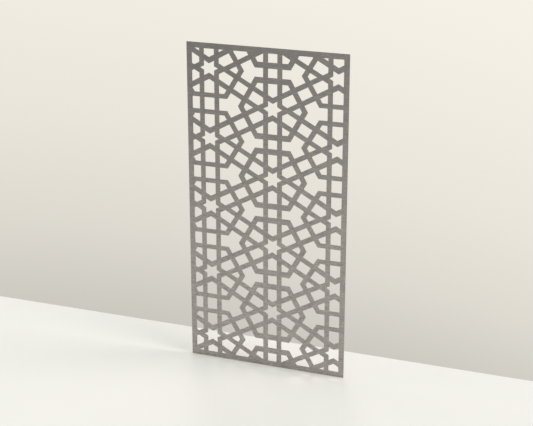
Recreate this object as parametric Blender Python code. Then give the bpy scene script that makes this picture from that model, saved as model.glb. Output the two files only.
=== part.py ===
"""Decorative metal screen: one flat sheet, cut right through with a pattern of six-pointed stars.

Metres, +Z up, the front faces -Y. The origin is in the middle of the bottom edge, half-way through
the sheet. The pattern is made of straight bars: pairs of parallel bars, called strips, join each
star to its six neighbours, and crossbars make a six-sided ring round every star. Stars stand in
columns. Columns of two kinds alternate, and they differ a little in the widths of their bars.
"""

import bpy
import bmesh
from math import atan2, ceil, cos, hypot, radians, sin
from mathutils import Vector
from mathutils.geometry import delaunay_2d_cdt

# The sheet
PANEL_WIDTH = 1.200
PANEL_HEIGHT = 2.400
SHEET_THICKNESS = 0.003
BORDER_WIDTH = 0.040

# Places of the stars: neighbouring columns stand half a row out of step
ROW_PITCH = 0.5111
COLUMN_PITCH = 0.4762

# Upright strips of a centre column: half the clear width between its two bars, and a bar's width
CENTRE_STRIP_HALF_GAP = 0.0340
CENTRE_STRIP_BAR = 0.0367

# Upright strips of a side column
SIDE_STRIP_HALF_GAP = 0.0381
SIDE_STRIP_BAR = 0.0359

# Slanting strips. Half gaps are taken square to the line between the two stars, at each end of it.
# The bar on the steep side of that line at the centre star is on the shallow side at the side star.
CENTRE_STEEP_HALF_GAP = 0.0353
SIDE_SHALLOW_HALF_GAP = 0.0385
CENTRE_STEEP_BAR = 0.0358
CENTRE_SHALLOW_HALF_GAP = 0.0355
SIDE_STEEP_HALF_GAP = 0.0289
SIDE_STEEP_BAR = 0.0369

# Where two slanting strips meet beside a star, they make one of its level points. Past the point
# their bars go on, a little closer to the star, up or down to the upright strip.
CENTRE_POINT_HALF_GAP = 0.0335
CENTRE_POINT_BAR = 0.0351
SIDE_POINT_HALF_GAP = 0.0316
SIDE_POINT_BAR = 0.0374

# Rings. A ring ends where the opening half-way along a strip begins, and has crossbars this wide.
CENTRE_LEVEL_CROSSBAR = 0.0424
CENTRE_LEVEL_WINDOW = 0.0648
SIDE_LEVEL_CROSSBAR = 0.0341
SIDE_LEVEL_WINDOW = 0.0880
CENTRE_SLANT_CROSSBAR = 0.0386
SIDE_SLANT_CROSSBAR = 0.0371
SLANT_WINDOW = 0.0885

# How far a slanting crossbar leans from square to its strip
CENTRE_CROSSBAR_LEAN = radians(1.4)
SIDE_CROSSBAR_LEAN = radians(3.2)

# Scraps of an opening that the border leaves, when smaller than this area, aren't cut
SMALLEST_OPENING_AREA = 0.0002
# Corners of an opening closer together than this are one corner
CORNER_TOLERANCE = 0.0002
# The kind of filling that gives triangles inside the first outline and outside the others
FILL_AROUND_HOLES = 2
FILL_TOLERANCE = 0.000001

METAL_COLOUR = (0.350, 0.338, 0.325, 1.0)
METAL_ROUGHNESS = 0.42


def clear_scene():
    for old in list(bpy.data.objects):
        bpy.data.objects.remove(old, do_unlink=True)


# A line holds the points (x, z) with a*x + b*z = c, as the tuple (a, b, c)

def upright_line(x):
    return (1.0, 0.0, x)


def level_line(z):
    return (0.0, 1.0, z)


def line_through(start, end):
    along_x = end[0] - start[0]
    along_z = end[1] - start[1]
    return (-along_z, along_x, along_x * start[1] - along_z * start[0])


def line_facing(angle, distance):
    """The line whose nearest point to the origin lies this far off, in this direction."""
    return (cos(angle), sin(angle), distance)


def meet(first, second):
    a1, b1, c1 = first
    a2, b2, c2 = second
    scale = a1 * b2 - a2 * b1
    return ((c1 * b2 - c2 * b1) / scale, (a1 * c2 - a2 * c1) / scale)


def flip_up_down(line):
    return (line[0], -line[1], line[2])


def flip_left_right(line):
    return (-line[0], line[1], line[2])


def from_far_star(line):
    """The same line as the star at the strip's far end has it, after half a turn of the strip."""
    a, b, c = line
    return (a, b, a * COLUMN_PITCH + b * ROW_PITCH / 2.0 - c)


def strip_side(near_offset, far_offset):
    """A line beside the strip that runs up and to the right from a star to its neighbour."""
    angle = atan2(ROW_PITCH / 2.0, COLUMN_PITCH)
    square = (-sin(angle), cos(angle))
    start = (square[0] * near_offset, square[1] * near_offset)
    end = (COLUMN_PITCH + square[0] * far_offset, ROW_PITCH / 2.0 + square[1] * far_offset)
    return line_through(start, end)


def slant_crossbar(width, lean):
    """Inner and outer edge of the crossbar over the strip that runs up and to the right."""
    angle = atan2(ROW_PITCH / 2.0, COLUMN_PITCH)
    strip_length = hypot(COLUMN_PITCH, ROW_PITCH / 2.0)
    outer = (strip_length - SLANT_WINDOW) / 2.0
    inner = outer - width
    facing = angle + lean
    return line_facing(facing, inner * cos(lean)), line_facing(facing, outer * cos(lean))


def level_crossbar(width, window):
    outer = (ROW_PITCH - window) / 2.0
    return level_line(outer - width), level_line(outer)


def centre_star_lines():
    """Edges of the bars in a centre star's upper right quarter, with the star at the origin."""
    steep_outer = (CENTRE_STEEP_HALF_GAP + SIDE_SHALLOW_HALF_GAP) / 2.0 + CENTRE_STEEP_BAR
    shallow_outer = (CENTRE_SHALLOW_HALF_GAP + SIDE_STEEP_HALF_GAP) / 2.0 + SIDE_STEEP_BAR
    point_outer = CENTRE_POINT_HALF_GAP + CENTRE_POINT_BAR
    level_inner, level_outer = level_crossbar(CENTRE_LEVEL_CROSSBAR, CENTRE_LEVEL_WINDOW)
    slant_inner, slant_outer = slant_crossbar(CENTRE_SLANT_CROSSBAR, CENTRE_CROSSBAR_LEAN)
    return {
        "upright_inner": upright_line(CENTRE_STRIP_HALF_GAP),
        "upright_outer": upright_line(CENTRE_STRIP_HALF_GAP + CENTRE_STRIP_BAR),
        "level_inner": level_inner,
        "level_outer": level_outer,
        "slant_inner": slant_inner,
        "slant_outer": slant_outer,
        "steep_inner": strip_side(CENTRE_STEEP_HALF_GAP, SIDE_SHALLOW_HALF_GAP),
        "steep_outer": strip_side(steep_outer, steep_outer),
        "shallow_inner": strip_side(-CENTRE_SHALLOW_HALF_GAP, -SIDE_STEEP_HALF_GAP),
        "shallow_outer": strip_side(-shallow_outer, -shallow_outer),
        "point_inner": strip_side(-CENTRE_POINT_HALF_GAP, -CENTRE_POINT_HALF_GAP),
        "point_outer": strip_side(-point_outer, -point_outer),
    }


def side_star_lines(centre):
    """The same for a side star, which shares its slanting strips with the centre stars."""
    point_outer = SIDE_POINT_HALF_GAP + SIDE_POINT_BAR
    level_inner, level_outer = level_crossbar(SIDE_LEVEL_CROSSBAR, SIDE_LEVEL_WINDOW)
    slant_inner, slant_outer = slant_crossbar(SIDE_SLANT_CROSSBAR, SIDE_CROSSBAR_LEAN)
    return {
        "upright_inner": upright_line(SIDE_STRIP_HALF_GAP),
        "upright_outer": upright_line(SIDE_STRIP_HALF_GAP + SIDE_STRIP_BAR),
        "level_inner": level_inner,
        "level_outer": level_outer,
        "slant_inner": slant_inner,
        "slant_outer": slant_outer,
        "steep_inner": from_far_star(centre["shallow_inner"]),
        "steep_outer": from_far_star(centre["shallow_outer"]),
        "shallow_inner": from_far_star(centre["steep_inner"]),
        "shallow_outer": from_far_star(centre["steep_outer"]),
        "point_inner": strip_side(-SIDE_POINT_HALF_GAP, -SIDE_POINT_HALF_GAP),
        "point_outer": strip_side(-point_outer, -point_outer),
    }


def mirrored_left_right(points):
    return [(-x, z) for x, z in reversed(points)]


def mirrored_up_down(points, about=0.0):
    return [(x, 2.0 * about - z) for x, z in reversed(points)]


def star_opening(own):
    quarter = [
        meet(own["point_inner"], flip_up_down(own["point_inner"])),
        meet(own["upright_inner"], flip_up_down(own["point_inner"])),
        meet(own["upright_inner"], own["steep_inner"]),
        meet(own["steep_inner"], flip_left_right(own["steep_inner"])),
    ]
    upper_half = quarter + mirrored_left_right(quarter)
    return upper_half + mirrored_up_down(upper_half)


def petal_above(own):
    right_half = [
        meet(own["level_inner"], own["upright_inner"]),
        meet(own["steep_outer"], own["upright_inner"]),
        meet(own["steep_outer"], flip_left_right(own["steep_outer"])),
    ]
    return right_half + mirrored_left_right(right_half)


def petal_aslant(own):
    return [
        meet(own["upright_outer"], flip_up_down(own["point_outer"])),
        meet(flip_up_down(own["point_outer"]), own["shallow_inner"]),
        meet(own["shallow_inner"], own["slant_inner"]),
        meet(own["slant_inner"], own["steep_inner"]),
        meet(own["steep_inner"], own["upright_outer"]),
    ]


def kite_beside(own):
    upper_half = [
        meet(own["slant_inner"], flip_up_down(own["slant_inner"])),
        meet(own["slant_inner"], own["shallow_outer"]),
        meet(own["shallow_outer"], flip_up_down(own["shallow_outer"])),
    ]
    return upper_half + mirrored_up_down(upper_half)


def kite_above(own):
    return [
        meet(own["upright_outer"], own["steep_outer"]),
        meet(own["steep_outer"], own["slant_inner"]),
        meet(own["slant_inner"], own["level_inner"]),
        meet(own["level_inner"], own["upright_outer"]),
    ]


def window_above(own):
    lower_half = [
        meet(flip_left_right(own["upright_inner"]), own["level_outer"]),
        meet(own["upright_inner"], own["level_outer"]),
    ]
    return lower_half + mirrored_up_down(lower_half, about=ROW_PITCH / 2.0)


def window_aslant(own, neighbour):
    far_crossbar = from_far_star(neighbour["slant_outer"])
    return [
        meet(own["slant_outer"], own["shallow_inner"]),
        meet(own["shallow_inner"], far_crossbar),
        meet(far_crossbar, own["steep_inner"]),
        meet(own["steep_inner"], own["slant_outer"]),
    ]


def three_armed_opening(own, neighbour):
    """The opening between the rings of two stars in one column and one in the next column."""
    far_crossbar = from_far_star(neighbour["slant_outer"])
    lower_half = [
        meet(own["upright_outer"], own["level_outer"]),
        meet(own["level_outer"], own["slant_outer"]),
        meet(own["slant_outer"], own["steep_outer"]),
        meet(own["steep_outer"], far_crossbar),
    ]
    notch_height = ROW_PITCH / 2.0
    notch = meet(far_crossbar, level_line(notch_height))
    return lower_half + [notch] + mirrored_up_down(lower_half, about=notch_height)


def star_cell(own, neighbour, with_slant_windows):
    """Every opening that belongs to one star, with the star at the origin."""
    right = [petal_aslant(own), kite_above(own)]
    if with_slant_windows:
        right.append(window_aslant(own, neighbour))
    right += [mirrored_up_down(opening) for opening in right]
    right += [kite_beside(own), three_armed_opening(own, neighbour)]
    upright = [petal_above(own), mirrored_up_down(petal_above(own)), window_above(own)]
    return [star_opening(own)] + upright + right + [mirrored_left_right(o) for o in right]


def cut_at(points, axis, limit, keep_below):
    """The part of a closed outline on one side of an upright (axis 0) or level (axis 1) line."""
    sign = 1.0 if keep_below else -1.0
    kept = []
    for here, after in zip(points, points[1:] + points[:1]):
        here_over = sign * (here[axis] - limit)
        after_over = sign * (after[axis] - limit)
        if here_over <= 0.0:
            kept.append(here)
        if here_over * after_over < 0.0:
            share = here_over / (here_over - after_over)
            kept.append(tuple(h + (a - h) * share for h, a in zip(here, after)))
    return kept


def without_repeated_corners(points):
    return [
        point for point, before in zip(points, points[-1:] + points[:-1])
        if hypot(point[0] - before[0], point[1] - before[1]) > CORNER_TOLERANCE
    ]


def area(points):
    pairs = zip(points, points[1:] + points[:1])
    return abs(sum(a[0] * b[1] - b[0] * a[1] for a, b in pairs)) / 2.0


def pattern_openings():
    """Outlines of all openings, trimmed to the clear rectangle inside the border."""
    centre = centre_star_lines()
    side = side_star_lines(centre)
    centre_cell = star_cell(centre, side, with_slant_windows=True)
    side_cell = star_cell(side, centre, with_slant_windows=False)

    half_width = PANEL_WIDTH / 2.0 - BORDER_WIDTH
    lowest = BORDER_WIDTH
    highest = PANEL_HEIGHT - BORDER_WIDTH
    # The border takes the place of the outer bar of the last column on the right
    last_column = half_width - SIDE_STRIP_HALF_GAP
    columns = ceil(2.0 * half_width / COLUMN_PITCH) + 1
    rows = ceil(PANEL_HEIGHT / ROW_PITCH / 2.0) + 1

    openings = []
    for column in range(columns + 1):
        is_centre = column % 2 == 1
        cell = centre_cell if is_centre else side_cell
        x = last_column - column * COLUMN_PITCH
        for row in range(-rows, rows + 1):
            z = PANEL_HEIGHT / 2.0 + (row + (0.5 if is_centre else 0.0)) * ROW_PITCH
            for outline in cell:
                points = [(x + px, z + pz) for px, pz in outline]
                points = cut_at(points, 0, half_width, keep_below=True)
                points = cut_at(points, 0, -half_width, keep_below=False)
                points = cut_at(points, 1, highest, keep_below=True)
                points = cut_at(points, 1, lowest, keep_below=False)
                points = without_repeated_corners(points)
                if area(points) > SMALLEST_OPENING_AREA:
                    openings.append(points)
    return openings


def metal_material():
    material = bpy.data.materials.new("brushed_metal")
    material.use_nodes = True
    shader = material.node_tree.nodes["Principled BSDF"]
    shader.inputs["Base Color"].default_value = METAL_COLOUR
    shader.inputs["Metallic"].default_value = 1.0
    shader.inputs["Roughness"].default_value = METAL_ROUGHNESS
    return material


def fill_between(outer, holes):
    """Corners (x, z) and triangles of the area inside one outline and outside the others."""
    corners = []
    loops = []
    for outline in [outer] + holes:
        loops.append(list(range(len(corners), len(corners) + len(outline))))
        corners += [Vector(point) for point in outline]
    filled = delaunay_2d_cdt(corners, [], loops, FILL_AROUND_HOLES, FILL_TOLERANCE)
    return filled[0], filled[2]


def screen_panel():
    """The sheet: its outer rectangle less the openings, filled and drawn out to its thickness."""
    half_width = PANEL_WIDTH / 2.0
    rectangle = [
        (-half_width, 0.0),
        (half_width, 0.0),
        (half_width, PANEL_HEIGHT),
        (-half_width, PANEL_HEIGHT),
    ]
    corners, triangles = fill_between(rectangle, pattern_openings())

    work = bmesh.new()
    front = [work.verts.new((x, -SHEET_THICKNESS / 2.0, z)) for x, z in corners]
    for triangle in triangles:
        work.faces.new([front[corner] for corner in triangle])
    drawn = bmesh.ops.extrude_face_region(work, geom=list(work.faces))
    back = [item for item in drawn["geom"] if isinstance(item, bmesh.types.BMVert)]
    bmesh.ops.translate(work, verts=back, vec=Vector((0.0, SHEET_THICKNESS, 0.0)))
    bmesh.ops.recalc_face_normals(work, faces=work.faces)

    mesh = bpy.data.meshes.new("screen_panel")
    work.to_mesh(mesh)
    work.free()
    panel = bpy.data.objects.new("screen_panel", mesh)
    panel.data.materials.append(metal_material())
    bpy.context.collection.objects.link(panel)
    return panel


clear_scene()
screen_panel()
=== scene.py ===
"""Looks of the decorative metal screen: brushed steel sheet, pale floor, soft studio light."""
import math

import bpy
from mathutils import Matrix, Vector

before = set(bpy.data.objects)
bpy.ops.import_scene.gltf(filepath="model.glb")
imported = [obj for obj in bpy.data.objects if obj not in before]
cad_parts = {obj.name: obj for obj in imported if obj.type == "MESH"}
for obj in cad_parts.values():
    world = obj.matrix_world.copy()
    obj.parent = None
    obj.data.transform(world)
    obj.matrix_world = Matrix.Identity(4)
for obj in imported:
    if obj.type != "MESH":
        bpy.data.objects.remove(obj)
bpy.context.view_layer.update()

# As in the CAD model, in metres
PANEL_HEIGHT = 2.4

# Camera: where the photograph was taken from, worked out from the panel's outline and openings
CAMERA_PLACE = (3.184, -8.358, 4.334)
CAMERA_TURN = math.radians(20.8545)
CAMERA_DIP = math.radians(19.313)
CAMERA_LENS = 89.545
CAMERA_SENSOR = 36.0
CAMERA_REACH = 200.0

# Stage: the pale floor ends in a plain line behind the panel and fades out far in front of it
FLOOR_WIDE = 60.0
FLOOR_BACK = 0.436
FLOOR_FADE_FROM = -3.0
FLOOR_FADE_TO = -7.0
FLOOR_COLOUR = (0.86, 0.855, 0.83, 1.0)
FLOOR_ROUGHNESS = 0.6
FLOOR_GLOSS = 0.1

# Backdrop, a wall's painted shade: pairs of rise, which is the tangent of the height above the
# horizon, and brightness
BACKDROP = [
    (-0.60, 0.48),
    (-0.48, 0.685),
    (-0.40, 0.77),
    (-0.28, 0.845),
    (-0.10, 0.93),
    (0.20, 0.93),
]
# Painted light: the backdrop gets lighter towards the right, where the lamps stand
BACKDROP_SLANT = 0.33
BACKDROP_TINT = (1.056, 1.019, 0.925, 1.0)
FLOOR_AS_SEEN = (0.90, 0.88, 0.83, 1.0)
STUDIO_AS_SEEN = (0.95, 0.92, 0.85, 1.0)
SMALLEST_LEVEL_PART = 0.05

# Where one part of the surroundings gives way to the next, along a direction's Y or Z
BACKDROP_FROM_FRONT = (-0.25, 0.25)
BACKDROP_FROM_BELOW = (-0.85, -0.60)
STUDIO_FROM_BELOW = (-0.02, 0.10)
LOW_FILL_FROM_FRONT = (-0.10, 0.10)
FILL_FROM_BELOW = (-0.04, 0.04)

# Fill light, and the lamps: name, bearing from straight behind the panel, height, width, strength
LIGHT_TINT = (1.02, 1.007, 0.973)
FILL_HIGH = 0.125
FILL_LOW_BACK = 0.88
FILL_LOW_FRONT = 0.15
LAMPS = [
    ("right_high", 90.0, 50.0, 40.0, 1.69),
    ("right_low", 90.0, 28.0, 40.0, 0.97),
    ("right_front_high", 135.0, 50.0, 40.0, 0.17),
    ("left_high", 270.0, 50.0, 40.0, 0.66),
    ("back_low", 0.0, 8.0, 30.0, 0.40),
    ("front_low", 180.0, 8.0, 30.0, 0.49),
    ("back_window", 334.0, 43.5, 17.0, 0.52),
]

# Metal colours
METAL_COLOUR = (0.369, 0.355, 0.341, 1.0)
METAL_TINT_FOOT = (1.018, 1.004, 0.998, 1.0)
METAL_TINT_TOP = (0.992, 0.994, 1.006, 1.0)
STAIN_COLOUR = (0.34, 0.31, 0.27, 1.0)
STAIN_MOST = 0.12
CUT_COLOUR = (0.27, 0.255, 0.235)
CUT_TONE = (0.8, 1.2)
WORN_COLOUR = (0.44, 0.43, 0.415, 1.0)
WORN_SHARE = 0.6

# Metal noises: waves for each metre along X, Y and Z, detail, shift, roughness
NOISES = {
    "clouds": ((5.0, 5.0, 9.0), 3.0, 0.0, 0.5),
    "wide_streaks": ((5.0, 5.0, 42.0), 2.0, 3.1, 0.5),
    "streaks": ((14.0, 14.0, 120.0), 2.0, 7.7, 0.5),
    "short_streaks": ((60.0, 60.0, 200.0), 2.0, 9.4, 0.5),
    "grain": ((24.0, 24.0, 420.0), 2.0, 1.3, 0.5),
    "hairlines": ((9.0, 9.0, 1500.0), 3.0, 4.4, 0.5),
    "smudges": ((9.0, 9.0, 11.0), 4.0, 5.9, 0.6),
    "cut_lines": ((260.0, 40.0, 260.0), 2.0, 2.2, 0.5),
}

# Brushing: how much each noise counts, and the start that puts the sum's mean at MARKS_MEAN
MARK_WEIGHTS = {
    "wide_streaks": 0.34,
    "streaks": 0.60,
    "short_streaks": 1.20,
    "grain": 0.30,
    "hairlines": 0.70,
}
MARKS_START = -1.07
MARKS_MEAN = 0.5
# The foot's stronger contrast is painted reflection of the floor, laid over the marks' own
# contrast
MARKS_CONTRAST_FOOT_WITH_PAINTED_REFLECTION = 0.95
MARKS_CONTRAST_TOP = 0.50
MOTTLE_FROM = (0.30, 0.70)
MOTTLE_TONE = (0.965, 1.035)

# Roughness, sheen and relief
METAL_ROUGHNESS = 0.42
MARKS_ROUGHNESS_SWING = 0.05
SMUDGE_ROUGHNESS = (-0.03, 0.04)
CUT_ROUGHNESS = (0.45, 0.6)
WORN_ROUGHNESS_CHANGE = -0.08
METAL_STRETCH = 0.4
STRETCH_ALONG = (0.0, 0.08, 1.0)
RELIEF_STRENGTH = 0.6
RELIEF_DEPTH = 0.0006

# Ranges of the noises over which smudges, brushing marks and cut lines take effect
NOISE_MIDDLE = (0.35, 0.65)
CUT_LINES_FROM = (0.3, 0.7)

# Edges: the two broad faces against the cut edges, the rounding, and the wear
FACE_FROM_EDGE = (0.55, 0.85)
FACE_JOIN_REACH = 0.00001
EDGE_ROUND = 0.0004
EDGE_SEGMENTS = 2
EDGE_SHARPER_THAN = math.radians(40.0)
EDGE_WEAR_REACH = 0.0015
WEAR_SAMPLES = 4
WEAR_BY_LIKENESS = (0.98, 0.80)
WEAR_PATCHES_FROM = (0.42, 0.62)
WEAR_PATCHES = (0.15, 1.0)


class Tree:
    """Short ways to add shader nodes and join them up."""

    def __init__(self, tree):
        self.nodes = tree.nodes
        self.links = tree.links

    def put(self, socket, value):
        if isinstance(value, bpy.types.NodeSocket):
            self.links.new(value, socket)
        else:
            socket.default_value = value

    def add(self, kind, inputs=None, **settings):
        node = self.nodes.new(kind)
        for name, value in settings.items():
            setattr(node, name, value)
        for name, value in (inputs or {}).items():
            self.put(node.inputs[name], value)
        return node

    def math(self, operation, *values, clamp=False):
        node = self.add("ShaderNodeMath", operation=operation, use_clamp=clamp)
        for socket, value in zip(node.inputs, values):
            self.put(socket, value)
        return node.outputs[0]

    def spread(self, value, low, high, to_low=0.0, to_high=1.0, curve="LINEAR"):
        node = self.add(
            "ShaderNodeMapRange",
            {
                "Value": value,
                "From Min": low,
                "From Max": high,
                "To Min": to_low,
                "To Max": to_high,
            },
            interpolation_type=curve,
        )
        return node.outputs["Result"]

    def step(self, value, low, high):
        """Smooth step from 0 at low to 1 at high."""
        return self.spread(value, low, high, curve="SMOOTHSTEP")

    def blend(self, amount, first, second, how="MIX"):
        """Colour: first where amount is 0, second where it is 1."""
        node = self.add("ShaderNodeMix", data_type="RGBA", blend_type=how)
        for index, value in zip((0, 6, 7), (amount, first, second)):
            self.put(node.inputs[index], value)
        return node.outputs[2]

    def choose(self, amount, first, second):
        """Number: first where amount is 0, second where it is 1."""
        node = self.add("ShaderNodeMix", data_type="FLOAT")
        for index, value in zip((0, 2, 3), (amount, first, second)):
            self.put(node.inputs[index], value)
        return node.outputs[0]

    def scaled(self, colour, factor):
        node = self.add("ShaderNodeVectorMath", operation="SCALE")
        self.put(node.inputs[0], colour)
        self.put(node.inputs["Scale"], factor)
        return node.outputs["Vector"]

    def parts(self, vector):
        node = self.add("ShaderNodeSeparateXYZ", {"Vector": vector})
        return [node.outputs[name] for name in "XYZ"]

    def noise(self, place, stretch, detail, shift, roughness):
        mapping = self.add(
            "ShaderNodeMapping",
            {"Vector": place, "Scale": stretch, "Location": (shift, shift, shift)},
        )
        node = self.add(
            "ShaderNodeTexNoise",
            {
                "Vector": mapping.outputs["Vector"],
                "Scale": 1.0,
                "Detail": detail,
                "Roughness": roughness,
            },
        )
        return node.outputs[0]

    def gradient(self, value, stops):
        ramp = self.nodes.new("ShaderNodeValToRGB")
        marks = ramp.color_ramp.elements
        marks[0].position, marks[0].color = stops[0]
        marks[1].position, marks[1].color = stops[-1]
        for position, colour in stops[1:-1]:
            marks.new(position).color = colour
        self.put(ramp.inputs["Fac"], value)
        return ramp.outputs["Color"]


def new_material(name):
    material = bpy.data.materials.new(name)
    material.use_nodes = True
    tree = Tree(material.node_tree)
    return material, tree, tree.nodes["Principled BSDF"]


def edge_wear(tree, smudges):
    """Wear, brightest right at the corners and broken up by the smudges."""
    soft = tree.add("ShaderNodeBevel", {"Radius": EDGE_WEAR_REACH}, samples=WEAR_SAMPLES)
    true_normal = tree.add("ShaderNodeNewGeometry").outputs["Normal"]
    likeness = tree.add("ShaderNodeVectorMath", operation="DOT_PRODUCT")
    tree.put(likeness.inputs[0], soft.outputs["Normal"])
    tree.put(likeness.inputs[1], true_normal)
    corner = tree.spread(likeness.outputs["Value"], *WEAR_BY_LIKENESS)
    patchy = tree.spread(smudges, *WEAR_PATCHES_FROM, *WEAR_PATCHES)
    return tree.math("MULTIPLY", corner, patchy, clamp=True)


def brushed_metal():
    """Brushed steel: streaks and fine grain on the faces, plainer cut edges, worn corners."""
    material, tree, shader = new_material("brushed_metal")
    coordinates = tree.add("ShaderNodeTexCoord")
    place = coordinates.outputs["Object"]
    up = tree.parts(place)[2]
    noises = {name: tree.noise(place, *settings) for name, settings in NOISES.items()}
    smudges, cut_lines = noises["smudges"], noises["cut_lines"]

    # Brushing marks as one height, level on the faces
    marks = MARKS_START
    for name, weight in MARK_WEIGHTS.items():
        marks = tree.math("MULTIPLY_ADD", noises[name], weight, marks)

    # Faces: 1 on the two broad faces and 0 on the cut edges
    facing = tree.math("ABSOLUTE", tree.parts(coordinates.outputs["Normal"])[1])
    face = tree.step(facing, *FACE_FROM_EDGE)
    wear = edge_wear(tree, smudges)

    # Tone: brushing marks, strongest at the foot, with clouds and smudges over them. The extra
    # strength at the foot is painted reflection, standing in for the floor's reflection showing
    # the marks up
    marks_contrast_with_painted_reflection = tree.spread(up, 0.0, PANEL_HEIGHT, MARKS_CONTRAST_FOOT_WITH_PAINTED_REFLECTION, MARKS_CONTRAST_TOP)
    tone = tree.math("MULTIPLY_ADD", tree.math("SUBTRACT", marks, MARKS_MEAN), marks_contrast_with_painted_reflection, 1.0)
    for mottle in (noises["clouds"], smudges):
        tone = tree.math("MULTIPLY", tone, tree.spread(mottle, *MOTTLE_FROM, *MOTTLE_TONE))

    # Colour
    height_share = tree.spread(up, 0.0, PANEL_HEIGHT)
    tint = tree.blend(height_share, METAL_TINT_FOOT, METAL_TINT_TOP)
    tint = tree.blend(1.0, tint, METAL_COLOUR, "MULTIPLY")
    stained = tree.spread(smudges, *NOISE_MIDDLE, 0.0, STAIN_MOST)
    brushed = tree.blend(stained, tree.scaled(tint, tone), STAIN_COLOUR)
    cut = tree.scaled(CUT_COLOUR, tree.spread(cut_lines, *CUT_LINES_FROM, *CUT_TONE))
    colour = tree.blend(face, cut, brushed)
    colour = tree.blend(tree.math("MULTIPLY", wear, WORN_SHARE), colour, WORN_COLOUR)
    tree.put(shader.inputs["Base Color"], colour)

    # Roughness
    roughest = METAL_ROUGHNESS + MARKS_ROUGHNESS_SWING
    smoothest = METAL_ROUGHNESS - MARKS_ROUGHNESS_SWING
    rough = tree.spread(marks, *NOISE_MIDDLE, roughest, smoothest)
    rough = tree.math("ADD", rough, tree.spread(smudges, *NOISE_MIDDLE, *SMUDGE_ROUGHNESS))
    cut_rough = tree.spread(cut_lines, *CUT_LINES_FROM, *CUT_ROUGHNESS)
    rough = tree.choose(face, cut_rough, rough)
    rough = tree.math("MULTIPLY_ADD", wear, WORN_ROUGHNESS_CHANGE, rough)
    tree.put(shader.inputs["Roughness"], rough)

    # Relief: brushing on the faces, cutting lines on the edges
    bump = tree.add(
        "ShaderNodeBump",
        {
            "Height": tree.choose(face, cut_lines, marks),
            "Strength": RELIEF_STRENGTH,
            "Distance": RELIEF_DEPTH,
        },
    )
    tree.put(shader.inputs["Normal"], bump.outputs["Normal"])

    # Brushing runs level, so highlights spread up and down
    upright = tree.add(
        "ShaderNodeVectorTransform",
        {"Vector": STRETCH_ALONG},
        vector_type="VECTOR",
        convert_from="OBJECT",
        convert_to="WORLD",
    )
    tree.put(shader.inputs["Tangent"], upright.outputs["Vector"])
    shader.inputs["Anisotropic"].default_value = METAL_STRETCH
    shader.inputs["Metallic"].default_value = 1.0
    return material


def finish_panel():
    """Metal and rounded edges. model.glb comes in as loose triangles, so they are joined first.
    """
    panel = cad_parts["screen_panel"]
    panel.data.materials.clear()
    panel.data.materials.append(brushed_metal())
    joined = panel.modifiers.new("joined_faces", "WELD")
    joined.merge_threshold = FACE_JOIN_REACH
    bevel = panel.modifiers.new("soft_edges", "BEVEL")
    bevel.width = EDGE_ROUND
    bevel.segments = EDGE_SEGMENTS
    bevel.limit_method = "ANGLE"
    bevel.angle_limit = EDGE_SHARPER_THAN


def floor():
    mesh = bpy.data.meshes.new("floor")
    corners = [
        (-FLOOR_WIDE, FLOOR_FADE_TO, 0.0),
        (FLOOR_WIDE, FLOOR_FADE_TO, 0.0),
        (FLOOR_WIDE, FLOOR_BACK, 0.0),
        (-FLOOR_WIDE, FLOOR_BACK, 0.0),
    ]
    mesh.from_pydata(corners, [], [(0, 1, 2, 3)])
    plane = bpy.data.objects.new("floor", mesh)
    bpy.context.collection.objects.link(plane)
    material, tree, shader = new_material("floor")
    shader.inputs["Base Color"].default_value = FLOOR_COLOUR
    shader.inputs["Roughness"].default_value = FLOOR_ROUGHNESS
    shader.inputs["Specular IOR Level"].default_value = FLOOR_GLOSS
    back_to_front = tree.parts(tree.add("ShaderNodeTexCoord").outputs["Object"])[1]
    tree.put(shader.inputs["Alpha"], tree.step(back_to_front, FLOOR_FADE_TO, FLOOR_FADE_FROM))
    mesh.materials.append(material)


def painted_shade_backdrop(tree, x, y, z):
    """Painted shade of a wall behind the panel: darkest low down, lighter upwards and to the
    right.
    """
    level = tree.math("SQRT", tree.math("SUBTRACT", 1.0, tree.math("MULTIPLY", z, z)))
    level = tree.math("MAXIMUM", level, SMALLEST_LEVEL_PART)
    steepness = tree.math("DIVIDE", z, level)
    slant = tree.math("MULTIPLY", x, y)
    rise = tree.math("MULTIPLY_ADD", slant, BACKDROP_SLANT, steepness)
    lowest, highest = BACKDROP[0][0], BACKDROP[-1][0]
    stops = [((r - lowest) / (highest - lowest), (b, b, b, 1.0)) for r, b in BACKDROP]
    painted_shade_brightness = tree.gradient(tree.spread(rise, lowest, highest), stops)
    return tree.blend(1.0, painted_shade_brightness, BACKDROP_TINT, "MULTIPLY")


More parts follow.
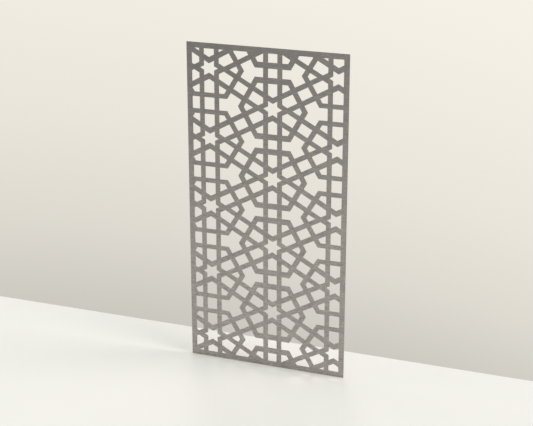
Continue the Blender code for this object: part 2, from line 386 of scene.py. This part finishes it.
def studio_world():
    """What the camera sees behind the floor, and apart from it the soft fill light."""
    world = bpy.data.worlds.new("studio")
    bpy.context.scene.world = world
    world.use_nodes = True
    tree = Tree(world.node_tree)
    background = tree.nodes["Background"]
    x, y, z = tree.parts(tree.add("ShaderNodeTexCoord").outputs["Generated"])

    # Seen by the camera: the backdrop with its painted wall shade, with the floor's and the
    # studio's colour round it
    behind = tree.step(y, *BACKDROP_FROM_FRONT)
    not_steep = tree.step(z, *BACKDROP_FROM_BELOW)
    above = tree.step(z, *STUDIO_FROM_BELOW)
    elsewhere = tree.blend(above, FLOOR_AS_SEEN, STUDIO_AS_SEEN)
    in_backdrop = tree.math("MULTIPLY", behind, not_steep)
    seen = tree.blend(in_backdrop, elsewhere, painted_shade_backdrop(tree, x, y, z))

    # Fill light by direction, for everything but the camera
    low_fill = tree.spread(
        y, *LOW_FILL_FROM_FRONT, FILL_LOW_FRONT, FILL_LOW_BACK, curve="SMOOTHSTEP"
    )
    fill = tree.choose(tree.step(z, *FILL_FROM_BELOW), low_fill, FILL_HIGH)
    camera_ray = tree.add("ShaderNodeLightPath").outputs["Is Camera Ray"]
    colour = tree.blend(camera_ray, tree.scaled(LIGHT_TINT, fill), seen)
    tree.put(background.inputs["Color"], colour)
    background.inputs["Strength"].default_value = 1.0


def studio_lights():
    """Large soft lamps, far away."""
    for name, bearing, height, width, strength in LAMPS:
        data = bpy.data.lights.new(name, "SUN")
        data.energy = strength
        data.angle = math.radians(width)
        data.color = LIGHT_TINT
        lamp = bpy.data.objects.new(name, data)
        turn, rise = math.radians(bearing), math.radians(height)
        toward = Vector(
            (math.sin(turn) * math.cos(rise), math.cos(turn) * math.cos(rise), math.sin(rise))
        )
        lamp.rotation_euler = toward.to_track_quat("Z", "Y").to_euler()
        bpy.context.collection.objects.link(lamp)


def camera():
    data = bpy.data.cameras.new("camera")
    data.lens = CAMERA_LENS
    data.sensor_width = CAMERA_SENSOR
    data.clip_end = CAMERA_REACH
    eye = bpy.data.objects.new("camera", data)
    eye.location = CAMERA_PLACE
    eye.rotation_euler = (math.pi / 2.0 - CAMERA_DIP, 0.0, CAMERA_TURN)
    bpy.context.collection.objects.link(eye)
    bpy.context.scene.camera = eye


camera()
floor()
studio_world()
studio_lights()
finish_panel()
bpy.context.scene.view_settings.view_transform = "Standard"
